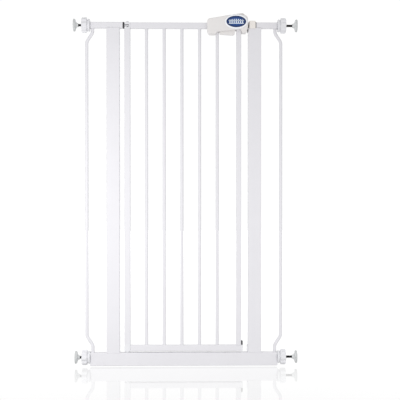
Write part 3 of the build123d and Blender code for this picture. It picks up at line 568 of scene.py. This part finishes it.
def badge():
    """The oval badge: a raised white border, a domed blue plate, and a small picture of a
    gate printed on it."""
    low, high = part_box("badge")
    centre = Vector(((low.x + high.x) / 2, high.y, (low.z + high.z) / 2))
    half_x = (high.x - low.x) / 2
    half_z = (high.z - low.z) / 2
    thick = high.y - low.y

    build = bmesh.new()
    profile = [
        (0.05 * MM, -0.3 * MM), (0.05 * MM, 1.4 * MM), (0.6 * MM, 1.6 * MM), (3.2 * MM, 1.5 * MM),
        (4.0 * MM, 1.0 * MM), (4.5 * MM, 0.1 * MM), (4.5 * MM, -0.3 * MM),
    ]
    oval_ring(build, centre, half_x, half_z, profile)
    make_piece("badge_border", build, "door", "badge_border")

    build = bmesh.new()
    count = 96
    levels = 10
    rings = [[
        centre + Vector((half_x * cos(2 * pi * k / count), 0, half_z * sin(2 * pi * k / count)))
        for k in range(count)
    ]]
    for level in range(levels):
        share = 1 - level / levels
        ahead = thick * (0.62 + 0.38 * sqrt(max(0.0, 1 - share ** 2)))
        rings.append([
            centre + Vector((
                share * half_x * cos(2 * pi * k / count), -ahead, share * half_z * sin(2 * pi * k / count)
            ))
            for k in range(count)
        ])
    loops = ring_strip(build, rings)
    build.faces.new(loops[0])
    top = build.verts.new(centre + Vector((0, -thick, 0)))
    last = loops[-1]
    for k in range(count):
        build.faces.new((last[k], last[(k + 1) % count], top))
    make_piece("badge_plate", build, "door", "blue_badge", replaces=["badge"])

    # the picture: two rails and a row of bars, a little proud of the resin
    build = bmesh.new()
    front = centre.y - thick - 0.05 * MM
    back = centre.y - thick * 0.75

    def print_bar(x0, x1, z0, z1):
        box = bmesh.ops.create_cube(build, size=1.0)
        spot = Vector((centre.x + (x0 + x1) / 2 * MM, (front + back) / 2, centre.z + (z0 + z1) / 2 * MM))
        for vert in box["verts"]:
            vert.co.x = spot.x + vert.co.x * (x1 - x0) * MM
            vert.co.y = spot.y + vert.co.y * (back - front)
            vert.co.z = spot.z + vert.co.z * (z1 - z0) * MM

    bars = 7
    spread = 38.0
    for k in range(bars):
        x = spread * (k / (bars - 1) - 0.5)
        tall = 5.4 + 2.4 * cos(x / spread * pi)
        print_bar(x - 1.4, x + 1.4, -5.4, tall)
    print_bar(-22.5, 22.5, -6.8, -4.8)
    print_bar(-22.5, 22.5, 1.4, 3.4)
    make_piece("badge_picture", build, "door", "badge_print", smooth=False)


# ---------------------------------------------------------------- CAD sub-parts
def finish_cad_nodes():
    """Gives each carried-over sub-part its material, merged corners and even shading."""
    sharp = {"door_top_rail", "door_bottom_rail", "frame_bottom_rail"}
    for name, piece in nodes.items():
        piece.data.materials.clear()
        piece.data.materials.append(MATERIALS[SLOT_OF[name]])
        weld = piece.modifiers.new("joined_faces", "WELD")
        weld.merge_threshold = 0.005 * MM
        if name not in sharp:
            soften(piece, 0.25, 2)
        else:
            piece.modifiers.new("even_shading", "WEIGHTED_NORMAL").keep_sharp = True


# ---------------------------------------------------------------- studio
def studio():
    """A lit, polished sheet under the gate, soft light from both sides, and the camera."""
    drop = 3.3 * MM
    reach = 9.0
    mesh = bpy.data.meshes.new("floor")
    build = bmesh.new()
    corners = [(-reach, -reach, -drop), (reach, -reach, -drop), (reach, reach, -drop), (-reach, reach, -drop)]
    build.faces.new([build.verts.new(corner) for corner in corners])
    build.to_mesh(mesh)
    build.free()
    floor = bpy.data.objects.new("floor", mesh)
    bpy.context.scene.collection.objects.link(floor)
    mesh.materials.append(studio_floor_white())

    scene = bpy.context.scene
    scene.view_settings.view_transform = "Standard"
    world = bpy.data.worlds.new("studio")
    scene.world = world
    world.use_nodes = True
    tree = world.node_tree
    tree.nodes.clear()
    place = add(tree, "ShaderNodeTexCoord")
    way = add(tree, "ShaderNodeSeparateXYZ", Vector=place.outputs["Generated"])
    # a pale room, dimmer below and a little lighter to the right, with a white sweep behind the gate
    sideways = add(
        tree, "ShaderNodeMapRange", {"interpolation_type": "SMOOTHSTEP"}, Value=way.outputs["X"],
        From_Min=-0.5, From_Max=0.9, To_Min=0.80, To_Max=0.88,
    )
    height = add(
        tree, "ShaderNodeMapRange", {"interpolation_type": "SMOOTHSTEP"}, Value=way.outputs["Z"],
        From_Min=-0.6, From_Max=0.2, To_Min=0.65, To_Max=1.0,
    )
    room = add(
        tree, "ShaderNodeMath", {"operation": "MULTIPLY"}, _0=sideways.outputs[0], _1=height.outputs[0]
    )
    sweep = add(
        tree, "ShaderNodeMapRange", {"interpolation_type": "SMOOTHSTEP"}, Value=way.outputs["Y"],
        From_Min=0.72, From_Max=0.90, To_Min=0.0, To_Max=1.0,
    )
    level = add(
        tree, "ShaderNodeMix", {"data_type": "FLOAT"}, _0=sweep.outputs[0], _2=room.outputs[0], _3=1.04
    )
    light = add(tree, "ShaderNodeBackground", Color=srgb("#FFFFFF"), Strength=level.outputs[0])
    add(tree, "ShaderNodeOutputWorld", Surface=light.outputs[0])

    def soft_box(name, spot, aim, size, watts):
        lamp = bpy.data.lights.new(name, "AREA")
        lamp.shape = "RECTANGLE"
        lamp.size, lamp.size_y = size
        lamp.energy = watts
        thing = bpy.data.objects.new(name, lamp)
        scene.collection.objects.link(thing)
        thing.visible_camera = False
        thing.visible_glossy = False
        thing.location = spot
        thing.rotation_euler = (Vector(aim) - Vector(spot)).to_track_quat("-Z", "Y").to_euler()

    soft_box("key", (-0.62, -0.80, 0.48), (-0.2, 0, 0.48), (0.3, 0.4), 4.2)
    soft_box("fill", (0.80, -0.90, 0.20), (0.25, 0, 0.20), (0.4, 0.6), 2.4)

    camera_data = bpy.data.cameras.new("camera")
    camera = bpy.data.objects.new("camera", camera_data)
    scene.collection.objects.link(camera)
    scene.camera = camera
    camera_data.sensor_width = 36.0
    camera_data.lens = 74.1
    camera_data.clip_end = 60.0
    spot = Vector((0.0042, -2.5, 0.5233))
    aim = Vector((0.0487, 0.0, 0.5023))
    camera.location = spot
    camera.rotation_euler = (aim - spot).to_track_quat("-Z", "Y").to_euler()


finish_cad_nodes()
for place in PLACES:
    threaded_spindle(place)
    hand_wheel(place)
    trumpet_foot(place)
    rubber_pad(place)
weld_beads()
bottom_bush()
keeper_shadow_strip()
badge()
studio()
